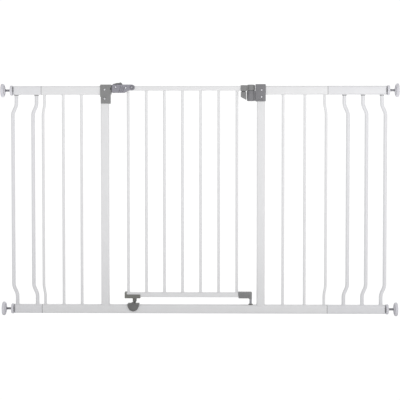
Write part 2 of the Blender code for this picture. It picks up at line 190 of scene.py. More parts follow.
def combine(piece, tools, operation="DIFFERENCE"):
    for tool in tools:
        modify(piece, "BOOLEAN", object=tool, operation=operation, solver="EXACT")
        bpy.data.objects.remove(tool)
    return merge(piece)


# --- basic shapes -------------------------------------------------------------------------------
def block(low, high):
    """A block between two corners."""
    middle = [(a + b) / 2 for a, b in zip(low, high)]
    size = [b - a for a, b in zip(low, high)]
    bpy.ops.mesh.primitive_cube_add(size=1, location=middle, scale=size)
    bpy.ops.object.transform_apply(location=True, rotation=True, scale=True)
    return bpy.context.object


def turned(profile, place=(0, 0, 0), axis="Z", sides=40, hollow=False):
    """A profile of (radius, along) points, drawn up ring by ring round an axis through place."""
    radius, height = profile[0]
    bpy.ops.mesh.primitive_circle_add(vertices=sides, radius=radius, location=(0, 0, height),
                                      fill_type="NOTHING")
    bpy.ops.object.transform_apply(location=True, rotation=True, scale=True)
    piece = bpy.context.object
    edit(piece, everything=True)
    for next_radius, next_height in profile[1:]:
        bpy.ops.mesh.extrude_region_move(TRANSFORM_OT_translate={"value": (0, 0, next_height - height)})
        growth = next_radius / radius
        bpy.ops.transform.resize(value=(growth, growth, 1), center_override=(0, 0, next_height))
        radius, height = next_radius, next_height
    if not hollow:
        bpy.ops.mesh.edge_face_add()
    bpy.ops.mesh.select_all(action="DESELECT")
    bpy.ops.mesh.select_mode(type="EDGE")
    bpy.ops.mesh.select_non_manifold()
    if hollow:
        bpy.ops.mesh.bridge_edge_loops()
    else:
        bpy.ops.mesh.edge_face_add()
    bpy.ops.mesh.select_all(action="SELECT")
    bpy.ops.mesh.normals_make_consistent(inside=False)
    leave()
    return move(piece, place, TURN_TO[axis])


def rounded(corners, steps=6):
    """The points of an outline whose (x, z, radius) corners are rounded."""
    points = []
    for i, (x, z, radius) in enumerate(corners):
        here = Vector((x, z))
        if not radius:
            points.append(here)
            continue
        back = (Vector(corners[i - 1][:2]) - here).normalized()
        on = (Vector(corners[(i + 1) % len(corners)][:2]) - here).normalized()
        half = back.angle(on) / 2
        centre = here + (back + on).normalized() * (radius / math.sin(half))
        start = here + back * (radius / math.tan(half)) - centre
        end = here + on * (radius / math.tan(half)) - centre
        first = math.atan2(start.y, start.x)
        sweep = (math.atan2(end.y, end.x) - first + math.pi) % math.tau - math.pi
        points += [centre + radius * Vector((math.cos(first + sweep * k / steps),
                                             math.sin(first + sweep * k / steps)))
                   for k in range(steps + 1)]
    return points


def arc(centre, radius, first, last, steps):
    """Points round centre from first to last degrees."""
    return [Vector((centre[0] + radius * math.cos(a), centre[1] + radius * math.sin(a)))
            for a in (math.radians(first + (last - first) * i / steps) for i in range(steps + 1))]


def plate(outline, low, high):
    """An outline of (x, z) points drawn along Y from low to high."""
    bpy.ops.mesh.primitive_circle_add(vertices=len(outline), radius=1, fill_type="NGON")
    piece = bpy.context.object
    edit(piece, everything=True)
    shape = bmesh.from_edit_mesh(piece.data)
    for vert, (x, z) in zip(shape.verts, outline):
        vert.co = (x, low, z)
    bmesh.update_edit_mesh(piece.data)
    bpy.ops.mesh.extrude_region_move(TRANSFORM_OT_translate={"value": (0, high - low, 0)})
    bpy.ops.mesh.select_all(action="SELECT")
    bpy.ops.mesh.normals_make_consistent(inside=False)
    leave()
    return piece


def wound(section, turns, lead, start, steps=16):
    """A closed section of (radius, along) points wound round Z from start, with its ends filled."""
    bpy.ops.mesh.primitive_circle_add(vertices=len(section), radius=1, fill_type="NOTHING")
    piece = bpy.context.object
    for vert, (radius, height) in zip(piece.data.vertices, section):
        vert.co = (radius, 0, start + height)
    modify(piece, "SCREW", axis="Z", angle=math.tau, iterations=turns, screw_offset=lead,
           steps=steps, render_steps=steps)
    edit(piece)
    for low in (True, False):
        middle = start + turns * lead / 2
        pick(piece, "EDGE", lambda edge: edge.is_boundary
             and (edge.verts[0].co.z < middle) == low)
        bpy.ops.mesh.edge_face_add()
    leave()
    return merge(piece)


def wire(radius, coil_radius, sides=8):
    """The round section of a spring's wire."""
    return [(coil_radius + radius * math.cos(turn), radius * math.sin(turn))
            for turn in (math.tau * i / sides for i in range(sides))]


# --- materials ----------------------------------------------------------------------------------
def ranged(tree, source, taken, given):
    """A value read from the range taken into the range given, and held to it."""
    node = tree.nodes.new("ShaderNodeMapRange")
    for key, value in zip(("From Min", "From Max", "To Min", "To Max"), (*taken, *given)):
        node.inputs[key].default_value = value
    tree.links.new(source, node.inputs["Value"])
    return node.outputs["Result"]


def finish_of(name, colour, roughness, grain, depth, mottle=0.02, metal=0.0, coat=0.0, uneven=0.05):
    """A finish with a fine surface grain, grain cells to the metre, and slight unevenness."""
    material = bpy.data.materials.new(name)
    material.use_nodes = True
    tree = material.node_tree
    nodes, links = tree.nodes, tree.links
    shader = nodes["Principled BSDF"]
    shader.inputs["Metallic"].default_value = metal
    shader.inputs["Coat Weight"].default_value = coat
    shader.inputs["Coat Roughness"].default_value = 0.2
    place = nodes.new("ShaderNodeTexCoord")

    def noise(scale, detail):
        cells = nodes.new("ShaderNodeTexNoise")
        cells.inputs["Scale"].default_value = scale
        cells.inputs["Detail"].default_value = detail
        links.new(place.outputs["Object"], cells.inputs["Vector"])
        return cells.outputs["Fac"]

    middle_of_noise = (0.3, 0.7)
    tint = nodes.new("ShaderNodeMix")
    tint.data_type = "RGBA"
    tint.inputs["A"].default_value = (*[c * (1 - mottle) for c in colour], 1)
    tint.inputs["B"].default_value = (*[min(c * (1 + mottle), 1) for c in colour], 1)
    links.new(ranged(tree, noise(38, 4), middle_of_noise, (0, 1)), tint.inputs["Factor"])
    links.new(tint.outputs["Result"], shader.inputs["Base Color"])
    rough = ranged(tree, noise(160, 3), middle_of_noise, (roughness - uneven, roughness + uneven))
    links.new(rough, shader.inputs["Roughness"])
    bump = nodes.new("ShaderNodeBump")
    bump.inputs["Strength"].default_value = 0.35
    bump.inputs["Distance"].default_value = depth * MM
    links.new(noise(grain, 2), bump.inputs["Height"])
    links.new(bump.outputs["Normal"], shader.inputs["Normal"])
    return material


POWDER_COAT = finish_of("white_powder_coat", (0.76, 0.76, 0.765), 0.36, 900, 0.06, 0.012, coat=0.15)
EXTENSION_COAT = finish_of("white_powder_coat_extension", (0.735, 0.735, 0.75), 0.36, 900, 0.06, 0.012,
                           coat=0.15)
CAP_PLASTIC = finish_of("white_moulding", (0.78, 0.775, 0.82), 0.34, 1500, 0.03, 0.01)
LILAC_PLASTIC = finish_of("lilac_moulding", (0.665, 0.66, 0.695), 0.36, 1500, 0.03, 0.015)
HINGE_PLASTIC = finish_of("hinge_grey_moulding", (0.2, 0.198, 0.208), 0.5, 2600, 0.08, 0.05)
GREY_PLASTIC = finish_of("grey_moulding", (0.225, 0.225, 0.225), 0.5, 2600, 0.08, 0.05)
LATCH_PLASTIC = finish_of("latch_grey_moulding", (0.275, 0.27, 0.305), 0.46, 2600, 0.06, 0.05)
# the slider's own dark grey, also used as painted shade on the strips in the seams and the rings by the
# nuts
SLIDER_AND_SHADE_PLASTIC = finish_of("slider_moulding", (0.19, 0.19, 0.19), 0.5, 2600, 0.08, 0.05)
OLIVE_PLASTIC = finish_of("floor_fitting_moulding", (0.18, 0.18, 0.165), 0.5, 2600, 0.08, 0.06)
CATCH_PLASTIC = finish_of("catch_moulding", (0.165, 0.165, 0.163), 0.5, 2600, 0.08, 0.06)
DARK_ZINC = finish_of("dark_zinc_steel", (0.4, 0.4, 0.425), 0.38, 1800, 0.05, 0.1, metal=1.0,
                      uneven=0.1)
SCREW_STEEL = finish_of("bright_screw_steel", (0.75, 0.75, 0.78), 0.28, 2200, 0.03, 0.06, metal=1.0)
SPRING_STEEL = finish_of("spring_steel", (0.42, 0.42, 0.43), 0.3, 2200, 0.04, 0.08, metal=1.0)


def fit(piece, name, node, material, replaces=True):
    """Bring a finished shape to metres, give it its finish and let it ride with its node's body."""
    select_only(piece)
    piece.name = piece.data.name = name
    piece.scale = (MM, MM, MM)
    bpy.ops.object.transform_apply(location=True, rotation=True, scale=True)
    piece.data.materials.clear()
    piece.data.materials.append(material)
    bpy.ops.object.shade_smooth_by_angle(angle=math.radians(SMOOTH_ANGLE))
    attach(piece, BODY_OF[node])
    if replaces:
        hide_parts(node)
    return piece


# --- rails and posts ----------------------------------------------------------------------------
def tube(low, high, axis, corner, rims, stub=None):
    """A rounded hollow tube. rims holds how far its low and high rims roll in; stub is the place that
    a thinner push-in end reaches to from the high or the low end."""
    piece = block(low, high)
    edit(piece)
    pick(piece, "EDGE", along(axis))
    bpy.ops.mesh.bevel(offset=corner, segments=8, affect="EDGES")
    for place, rim in ((low[axis], rims[0]), (high[axis], rims[1])):
        pick(piece, "EDGE", at(axis, place))
        bpy.ops.mesh.bevel(offset=rim, segments=4, affect="EDGES")
    ends = [low[axis], high[axis]]
    if stub is not None:
        shoulder = 0 if stub < low[axis] else 1
        pick(piece, "FACE", at(axis, ends[shoulder]))
        bpy.ops.mesh.inset(thickness=STUB_STEP - ROLLED_RIM)
        step = [0, 0, 0]
        step[axis] = stub - ends[shoulder]
        bpy.ops.mesh.extrude_region_move(TRANSFORM_OT_translate={"value": step})
        ends[shoulder] = stub
    pick(piece, "FACE", lambda face: at(axis, ends[0])(face) or at(axis, ends[1])(face))
    bpy.ops.mesh.delete(type="FACE")
    leave()
    return modify(piece, "SOLIDIFY", thickness=TUBE_WALL, offset=-1, use_even_offset=False)


def weld_bead(x, z, half_length):
    """A rippled bead of weld along Y at one corner."""
    ripples = 14
    profile = [(0.5, -half_length - 0.8)]
    for i in range(ripples + 1):
        y = -half_length + 2 * half_length * i / ripples
        profile += [(1.25, y), (1.45, y + 0.35), (1.3, y + 0.8)]
    return turned(profile + [(0.5, half_length + 1.6)], (x, 0, z), "Y", sides=12)


def make_rails():
    seam = {"left": span("left_top_rail")[0].x, "right": span("right_top_rail")[1].x}
    low, high = span("bottom_rail")
    rail = tube(low, high, 0, RAIL_CORNER, (ROLLED_RIM, ROLLED_RIM))
    pin_x = (span("pivot_pin")[0].x + span("pivot_pin")[1].x) / 2
    bore = turned([(BUSH_BORE, high.z - 4), (BUSH_BORE, high.z + 4)], (pin_x, 0, 0))
    fit(combine(rail, [bore]), "bottom_rail_tube", "bottom_rail", POWDER_COAT)

    for side, rims in (("left", (ROLLED_RIM, PLAIN_RIM)), ("right", (PLAIN_RIM, ROLLED_RIM))):
        node = f"{side}_top_rail"
        low, high = span(node)
        inner = high if side == "left" else low
        inner.x += COPE if side == "left" else -COPE
        fit(tube(low, high, 0, RAIL_CORNER, rims), f"{node}_tube", node, POWDER_COAT)

    for side in ("left", "right"):
        for level in ("top", "bottom"):
            node = f"{side}_extension_{level}_rail"
            low, high = span(node)
            stub = high.x if side == "left" else low.x
            if side == "left":
                high.x, rims = seam[side] - 0.3, (PLAIN_RIM, ROLLED_RIM)
            else:
                low.x, rims = seam[side] + 0.3, (ROLLED_RIM, PLAIN_RIM)
            rail = tube(low, high, 0, RAIL_CORNER, rims, stub)
            fit(rail, f"{node}_tube", node, EXTENSION_COAT)
            # a dark strip set into each seam: its dark colour is painted shade for the gap between rail
            # and extension rail
            inset = Vector((0, SHADE_STRIP_INSET, SHADE_STRIP_INSET))
            low.x, high.x = seam[side] - SHADE_STRIP_HALF, seam[side] + SHADE_STRIP_HALF
            shade_strip = tube(low + inset, high - inset, 0, RAIL_CORNER - SHADE_STRIP_INSET, (0.15, 0.15))
            fit(shade_strip, f"{side}_{level}_seam_shade_strip", node, SLIDER_AND_SHADE_PLASTIC,
                replaces=False)

    for node in ("door_top_rail", "door_bottom_rail"):
        low, high = span(node)
        rail = tube(low, high, 0, DOOR_RAIL_CORNER, (PLAIN_RIM, PLAIN_RIM))
        fit(rail, f"{node}_tube", node, POWDER_COAT)


def make_posts():
    for side in ("left", "right"):
        node = f"{side}_post"
        low, high = span(node)
        rail_low = span(f"{side}_top_rail")[0].z
        foot = low.z
        low.z -= COPE
        post = tube(low, high, 2, POST_CORNER, (PLAIN_RIM, PLAIN_RIM))
        outer = low.x if side == "left" else high.x
        beads = [weld_bead(low.x, foot, 8), weld_bead(high.x, foot, 8), weld_bead(outer, rail_low, 8)]
        fit(join([post] + beads), f"{node}_tube", node, POWDER_COAT)


# --- bars ---------------------------------------------------------------------------------------
def straight_bar(node, radius):
    """A bar with a weld toe at each end."""
    low, high = span(node)
    toe = [(radius + grow, low.z + up) for grow, up in WELD_TOE]
    top = [(radius + grow, high.z - up) for grow, up in reversed(WELD_TOE)]
    return turned(toe + top, ((low.x + high.x) / 2, 0, 0), sides=32)


def kinked_bar(node, radius, towards_centre):
    """A bar that leaves both rails straight, bends sideways and runs straight between."""
    low, high = span(node)
    near, far = low.x + radius, high.x - radius
    middle, end = (near, far) if towards_centre > 0 else (far, near)
    stops = [(end, low.z), (end, low.z + KINK_LEAD), (middle, low.z + KINK_LEAD + KINK_BEND),
             (middle, high.z - KINK_LEAD - KINK_BEND), (end, high.z - KINK_LEAD), (end, high.z)]
    bpy.ops.curve.primitive_bezier_curve_add()
    piece = bpy.context.object
    curve = piece.data
    curve.dimensions = "3D"
    spline = curve.splines[0]
    spline.bezier_points.add(len(stops) - len(spline.bezier_points))
    for point, (x, z) in zip(spline.bezier_points, stops):
        point.handle_left_type = point.handle_right_type = "FREE"
        point.co = (x, 0, z)
        point.handle_left = (x, 0, z - 0.4 * KINK_BEND)
        point.handle_right = (x, 0, z + 0.4 * KINK_BEND)
    curve.resolution_u = 14
    curve.bevel_depth = radius
    curve.bevel_resolution = 6
    curve.use_fill_caps = True
    bpy.ops.object.convert(target="MESH")
    piece = merge(bpy.context.object)
    foot = [(radius + grow, up) for grow, up in WELD_TOE[:-1]] + [(radius - 0.2, 3.2)]
    toes = [turned(foot, (end, 0, low.z), sides=32),
            turned([(grow, -up) for grow, up in foot], (end, 0, high.z), sides=32)]
    return join([piece] + toes)


def make_bars():
    straight = ["left_bar_1", "left_bar_2", "right_bar_1", "right_bar_2"]
    straight += [f"door_bar_{i + 1}" for i in range(7)]
    for node in straight:
        fit(straight_bar(node, BAR_RADIUS), f"{node}_rod", node, POWDER_COAT)
    for side, way in (("left", 1), ("right", -1)):
        node = f"{side}_kinked_bar"
        fit(kinked_bar(node, BAR_RADIUS, way), f"{node}_rod", node, POWDER_COAT)
        for number in range(1, 3 if side == "left" else 4):
            node = f"{side}_extension_bar_{number}"
            fit(kinked_bar(node, EXTENSION_BAR_RADIUS, way), f"{node}_rod", node, EXTENSION_COAT)
            low, high = span(node)
            end = high.x - EXTENSION_BAR_RADIUS if way > 0 else low.x + EXTENSION_BAR_RADIUS
            # a grey ring where each extension bar meets the top rail: painted shade under the rail
            profile = [(6.05, -3.0), (6.9, -2.7), (7.1, -2.0), (7.1, -0.4), (6.6, 0.1), (6.05, 0.2)]
            ring = turned(profile, (end, 0, high.z), sides=36, hollow=True)
            fit(ring, f"{node}_top_shade_ring", node, GREY_PLASTIC, replaces=False)


# --- wall pressure units ------------------------------------------------------------------------
def wall_cup():
    """The round cup, from its wall face inwards, with ribs round the hub on its inner face."""
    profile = [(17.5, 0), (20.4, 0.5), (21.8, 1.4), (22.2, 2.3), (21.8, 2.6), (22.3, 3.0), (22.5, 4.4),
               (22.4, 6.2), (21.5, 8.2), (19.8, 9.5), (18.4, 10.1), (17.5, 9.9), (16.9, 8.9),
               (9.8, 8.6), (8.9, 9.6), (8.4, 12.4), (7.9, 13.0), (4.9, 13.0), (4.4, 12.4), (4.3, 6.0)]
    cup = turned(profile, axis="X", sides=64)
    ribs = []
    for i in range(8):
        rib = soften(block((8.3, -0.9, 8.2), (9.9, 0.9, 17.4)), 0.3)
        ribs.append(move(rib, (0, 0, 0), (math.tau * i / 8, 0, 0)))
    return join([cup] + ribs)


def hand_nut():
    """The thumb nut: a fluted rim with a hub on each side."""
    profile = [(4.25, 29.7), (8.2, 29.7), (8.8, 30.4), (13.0, 30.4), (13.8, 29.9), (15.3, 29.9),
               (16.2, 30.4), (16.5, 31.4), (16.5, 36.6), (15.8, 37.6), (13.0, 38.0), (12.6, 38.3),
               (4.25, 38.3)]
    nut = turned(profile, axis="X", sides=96, hollow=True)
    flute = turned([(3.0, 28.0), (3.0, 40.0)], sides=20, axis="X", place=(0, 0, 18.4))
    flutes = [flute]
    for i in range(1, 12):
        flutes.append(move(copy_of(flute), (0, 0, 0), (math.tau * i / 12, 0, 0)))
    return soften(combine(nut, [join(flutes)]), 0.35, angle=40)


def gap_shade_ring():
    """A dark ring that the nut pushes on; its dark colour is painted shade for the gap between the nut
    and the cap.
    """
    return turned([(4.4, 38.7), (13.2, 38.7), (13.6, 39.1), (13.6, 40.3), (13.2, 40.7), (4.4, 40.7)],
                  axis="X", sides=64, hollow=True)


def spindle():
    """The threaded rod: a core with a helical ridge on it."""
    core = turned([(2.6, 6.4), (3.35, 7.1), (3.35, 118.4), (2.6, 119.2)], sides=24)
    ridge = wound([(3.2, -0.56), (4.0, -0.13), (4.0, 0.13), (3.2, 0.56)], 84, THREAD_LEAD, 12.6)
    return move(join([core, ridge]), (0, 0, 0), TURN_TO["X"])


def rail_end_cap():
    """The cap: a flange as large as the rail, a plug in the rail and a hole for the spindle."""
    cap = block((CAP_FACE, -11, -14), (CAP_BACK, 11, 14))
    edit(cap)
    pick(cap, "EDGE", along(0))
    bpy.ops.mesh.bevel(offset=RAIL_CORNER, segments=8, affect="EDGES")
    pick(cap, "EDGE", at(0, CAP_FACE))
    bpy.ops.mesh.bevel(offset=0.9, segments=3, affect="EDGES")
    pick(cap, "FACE", at(0, CAP_BACK))
    bpy.ops.mesh.inset(thickness=1.6)
    bpy.ops.mesh.extrude_region_move(TRANSFORM_OT_translate={"value": (9.0, 0, 0)})
    leave()
    return combine(cap, [turned([(SPINDLE_BORE, 30.0), (SPINDLE_BORE, 60.0)], axis="X")])


def make_wall_units():
    masters = {"wall_cup": (wall_cup(), LILAC_PLASTIC, "moulding"),
               "hand_nut": (hand_nut(), LILAC_PLASTIC, "moulding"),
               "spindle": (spindle(), DARK_ZINC, "threaded"),
               "rail_end_cap": (rail_end_cap(), CAP_PLASTIC, "moulding")}
    for corner in ("left_top", "left_bottom", "right_top", "right_bottom"):
        low, high = span(f"{corner}_wall_cup")
        left = corner.startswith("left")
        place = (low.x if left else high.x, 0, (low.z + high.z) / 2)
        turn = (0, 0, 0 if left else math.pi)
        for part, (master, material, ending) in masters.items():
            node = f"{corner}_{part}"
            fit(move(copy_of(master), place, turn), f"{node}_{ending}", node, material)
        # a dark ring between nut and cap: painted shade for the gap there
        ring = move(gap_shade_ring(), place, turn)
        fit(ring, f"{corner}_nut_gap_shade_ring", f"{corner}_rail_end_cap", SLIDER_AND_SHADE_PLASTIC,
            replaces=False)
    for master, _material, _ending in masters.values():
        bpy.data.objects.remove(master)


# --- screws -------------------------------------------------------------------------------------
def make_screws():
    """Cross-head screws, modelled once and copied; each faces front in its counterbore."""
    head = turned([(3.3, 0), (3.3, 0.7), (2.9, 1.3), (2.0, 1.8), (0.8, 2.0)], sides=32)
    slots = [block((-2.0, -0.42, 1.0), (2.0, 0.42, 3.0)), block((-0.42, -2.0, 1.0), (0.42, 2.0, 3.0))]
    head = combine(head, slots)
    places = {"keeper_bracket": [(-307.5, 738.0, -11.0), (-307.5, 708.4, -11.0)],
              "hinge_bracket": [(201.3, 736.6, -12.0), (201.3, 714.4, -12.0)],
              "latch_housing": [(-272.0, 746.6, -11.4), (-239.0, 743.8, -11.4)]}
    for node, spots in places.items():
        for number, (x, z, y) in enumerate(spots, start=1):
            screw = move(copy_of(head), (x, y + 0.3, z), (math.pi / 2, 0.5 * number, 0))
            fit(screw, f"{node}_screw_{number}", node, SCREW_STEEL, replaces=False)
    bpy.data.objects.remove(head)
    return places


def counterbores(spots):
    """Round pockets for screw heads."""
    return [turned([(4.1, 0), (4.1, 10.0)], (x, y, z), "-Y", sides=32) for x, z, y in spots]


# --- keeper on the left post --------------------------------------------------------------------
def make_keeper(spots):
    low, high = span("keeper_bracket")
    foot, nose = -289.6, -286.0
    outline = rounded([(low.x + 2.0, low.z, 2.5), (foot, low.z, 2.5), (foot, 719.5, 8),
                       (nose, 730.0, 5), (nose, high.z, 2.0), (low.x, high.z, 2.5),
                       (low.x, 716.5, 1.5), (low.x + 2.0, 713.5, 1.5)])
    body = soften(plate(outline, low.y, high.y), 1.6, 3)
    # room for the post and rail, and the notch: a wide mouth, and above it room for the bolt to lift
    notch, past = -289.1, -280.0
    cuts = [block((-330, -RAIL_ROOM, 680), (-294.3, RAIL_ROOM, 750.3)),
            block((notch, -20, 736.8), (past, 20, 744.4)),
            block((notch, -BOLT_ROOM, BOLT_Z), (past, BOLT_ROOM, 750.6))]
    body = combine(body, cuts + counterbores(spots))
    fit(body, "keeper_bracket_moulding", "keeper_bracket", GREY_PLASTIC)


# --- latch --------------------------------------------------------------------------------------
def housing_outline(grow=0.0):
    """The latch housing from the front, with its sloping underside and the eye at its right end."""
    left, base, top = -284.0 - grow, 728.2 - grow, 754.6 + grow
    eye = arc(EYE, 9.5 + grow, -112, 80, 14)
    body = rounded([(EYE[0], top, 0), (left, top, 2.5), (left, base, 2.5), (-246.0, base, 6.0),
                    (-229.5, 735.6, 3.0), (eye[0].x, eye[0].y, 0)])
    return body + eye[1:]


def make_latch(spots):
    low, high = span("latch_housing")
    body = soften(plate(housing_outline(), low.y, high.y), 1.4, 3)
    # room for the bolt and its spring, the door's rail, the bolt's nose and the slider's stem
    cuts = [block((-281.6, -4.5, 736.8), (-249.0, 12, 751.7)),
            block((-246.5, -DOOR_RAIL_ROOM, 715), (-200, 12, 750.4)),
            block((-290, -BOLT_ROOM, 736.8), (-280, BOLT_ROOM, 745.1)),
            block((-274.7, -3.4, 748), (-261.3, 3.4, 760))]
    cuts += counterbores(spots)
    # the eye's ring and its hole, and the swept grooves that part the ridges beside it
    eye = (EYE[0], 0, EYE[1] + 0.3)
    cuts.append(turned([(6.3, 10.6), (6.6, 14.0), (4.4, 14.0), (4.7, 10.6)], eye, "-Y", sides=48,
                       hollow=True))
    cuts.append(turned([(2.7, 8.0), (2.7, 12.0), (4.0, 14.0)], eye, "-Y", sides=40))
    outer, inner = 31.3, 29.1
    for number, x in enumerate((-286.5, -280.5, -274.0)):
        last = 5 - 4 * number
        cuts.append(plate(arc((x, 748.0), outer, -40, last, 12) + arc((x, 748.0), inner, last, -40, 12),
                          -14.0, -11.0))
    fit(combine(body, cuts), "latch_housing_moulding", "latch_housing", LATCH_PLASTIC)

    low, high = span("latch_back_cover")
    cover = soften(plate(housing_outline(-0.3), low.y, high.y), 0.7, 2)
    holes = [turned([(2.0, 0), (3.4, 1.2), (3.4, 4.0)], (x, 11.9, z), "Y", sides=24)
             for x, z, _y in spots]
    fit(combine(cover, holes), "latch_back_cover_moulding", "latch_back_cover", LATCH_PLASTIC)

    thumb = plate(rounded([(-281.0, 755.1, 0.4), (-251.0, 755.1, 0.4), (-251.0, 757.4, 0.8),
                           (-254.6, 761.4, 1.2), (-257.4, 761.9, 1.0), (-260.6, 760.3, 1.5),
                           (-269.0, 759.8, 2.0), (-280.0, 756.6, 0.6)]), -7.5, 7.5)
    thumb = soften(thumb, 0.7, 2)
    grips = [block((x, -6.0, 757.9), (x + 1.1, 6.0, 764))
             for x in (-276.5, -273.9, -271.3, -268.7, -266.1)]
    stem = block((-274.0, -2.9, 741.4), (-268.0, 2.9, 757.0))
    thumb = combine(combine(thumb, [stem], "UNION"), grips)
    fit(thumb, "latch_slider_moulding", "latch_slider", SLIDER_AND_SHADE_PLASTIC)

    low, high = span("latch_bolt")
    bolt = block(low, high)
    edit(bolt)
    pick(bolt, "EDGE", at(0, low.x))
    bpy.ops.mesh.bevel(offset=1.4, segments=4, affect="EDGES")
    leave()
    bolt = combine(soften(bolt, 0.4, 2), [block((-274.4, -3.2, 740.9), (-267.6, 3.2, 748.0))])
    fit(bolt, "latch_bolt_bar", "latch_bolt", DARK_ZINC)

    low, high = span("latch_spring")
    turns = 6
    lead = (high.x - low.x - 0.9) / turns
    spring = wound(wire(0.45, 3.0), turns, lead, low.x + 0.45, steps=20)
    spring = move(spring, (0, 0, BOLT_Z), TURN_TO["X"])
    spring = fit(spring, "latch_spring_coil", "latch_spring", SPRING_STEEL)
    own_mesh(spring)


# --- hinge --------------------------------------------------------------------------------------
def barrel(low, high, hollow, x):
    """A hinge knuckle with rounded rims; hollow is its inside from the bottom up."""
    rims = [(11.8, low), (12.6, low + 0.3), (13.0, low + 1.1), (13.0, high - 1.1), (12.6, high - 0.3),
            (11.8, high)]
    return turned(rims + hollow[::-1], (x, 0, 0), sides=64, hollow=True)


def make_hinge(spots):
    low, high = span("hinge_pin")
    x = (low.x + high.x) / 2
    upper = turned([(11.8, HINGE_SPLIT + 0.5), (12.6, HINGE_SPLIT + 0.8), (13.0, HINGE_SPLIT + 1.6),
                    (13.0, 751.4), (12.3, 753.0), (10.6, 754.0), (3.0, 754.0)], (x, 0, 0), sides=64)
    bore = turned([(PIN_BORE, HINGE_SPLIT - 2), (PIN_BORE, 750.9)], (x, 0, 0), sides=40)
    arm = soften(block((134.0, -12.0, 733.2), (153.6, 12.0, 752.3)), 1.6, 3)
    link = soften(block((150.0, -9.5, HINGE_SPLIT + 1.1), (157.5, 9.5, 751.4)), 0.8)
    socket = block((130.0, -DOOR_RAIL_ROOM, 734.6), (148.5, DOOR_RAIL_ROOM, 750.4))
    stop = plate(rounded([(134.6, 730.2, 0.8), (134.6, 715.0, 1.5), (152.5, 705.0, 1.2),
                          (152.5, 730.2, 0.8)]), -11.2, 10.0)
    stop = soften(stop, 1.0, 2)
    dish = turned([(4.6, 0), (5.0, 4.0)], (143.0, -10.6, 722.4), "-Y", sides=40)
    neck = block((137.0, -3.5, 729.0), (150.0, 8.0, 734.4))
    body = combine(upper, [link, arm, combine(stop, [dish]), neck], "UNION")
    body = combine(body, [bore, socket])
    fit(body, "hinge_knuckle_moulding", "hinge_knuckle", GREY_PLASTIC)

    low, high = span("hinge_bracket")
    front = -13.5
    saddle = soften(plate(rounded([(182.3, high.z, 1.5), (182.3, low.z + 1.0, 1.5), (189.0, low.z, 1.0),
                                   (215.0, low.z, 2.5), (215.0, high.z, 2.5)]), front, -front), 1.5, 3)
    web = soften(block((177.2, -10.0, 702.6), (184.0, 10.0, HINGE_SPLIT - 1.2)), 0.6)
    score = soften(plate([(188.5, 704.6), (205.0, 703.4), (205.0, 704.8), (188.5, 706.4)],
                         front, -12.6), 0.2)
    room = [(9.5, 701.4), (9.5, 731.0), (PIN_BORE, 731.0), (PIN_BORE, HINGE_SPLIT)]
    lower = combine(saddle, [web, barrel(701.4, HINGE_SPLIT, room, x)], "UNION")
    cuts = [block((186.8, -RAIL_ROOM, 690), (225, RAIL_ROOM, 750.3))]
    lower = combine(lower, cuts + counterbores(spots) + [score])
    fit(lower, "hinge_bracket_moulding", "hinge_bracket", HINGE_PLASTIC)

    pin = turned([(7.8, 702.0), (8.6, 702.5), (8.6, 703.7), (8.0, 704.0), (4.0, 704.2), (4.0, 749.5),
                  (3.2, 750.3)], (x, 0, 0), sides=40)
    fit(pin, "hinge_pin_turned", "hinge_pin", DARK_ZINC)
    low, high = span("closer_spring")
    turns = 6
    lead = (high.z - low.z - 1.4) / turns
    spring = move(wound(wire(0.7, 6.8), turns, lead, low.z + 0.7, steps=24), (x, 0, 0))
    fit(spring, "closer_spring_coil", "closer_spring", SPRING_STEEL)


# --- fittings at the foot -----------------------------------------------------------------------
def make_bottom_hinge():
    low, high = span("bottom_hinge_bracket")
    cap = plate(rounded([(low.x, high.z, 1.5), (low.x, 66.6, 1.0), (high.x - 9.4, 66.6, 1.5),
                         (high.x - 9.4, low.z + 3.0, 1.0), (high.x - 11.0, low.z, 0.8),
                         (high.x, low.z, 0.8), (high.x, high.z, 2.0)]), low.y, high.y)
    skirt = block((low.x + 1.0, low.y + 0.6, low.z + 1.4), (high.x - 5.0, high.y - 0.6, 70.0))
    cap = combine(soften(cap, 1.2, 3), [soften(skirt, 0.8)], "UNION")
    axis_place = (PIVOT_X, 0, 0)
    cuts = [block((120.0, -DOOR_RAIL_ROOM, 61.1), (148.5, DOOR_RAIL_ROOM, 76.9)),
            turned([(PIN_BORE, 50), (PIN_BORE, 71)], axis_place)]
    fit(combine(cap, cuts), "bottom_hinge_bracket_moulding", "bottom_hinge_bracket", GREY_PLASTIC)
    pin = turned([(1.6, 25.0), (2.8, 25.4), (3.8, 27.2), (3.8, 69.8), (3.0, 70.6)], axis_place)
    fit(pin, "pivot_pin_turned", "pivot_pin", DARK_ZINC)
    bush = turned([(5.2, 29.0), (5.2, 36.6), (7.0, 36.7), (7.5, 37.2), (7.3, 38.4), (6.3, 39.3),
                   (4.6, 39.4), (3.9, 38.9), (3.9, 29.0)], axis_place, hollow=True)
    fit(bush, "pivot_bushing_moulding", "pivot_bushing", OLIVE_PLASTIC)


def shrunk(outline, across, up):
    """The catch's outline drawn in towards its middle."""
    x, z = CATCH_MIDDLE
    return [Vector((x + (p.x - x) * across, z + (p.y - z) * up)) for p in outline]


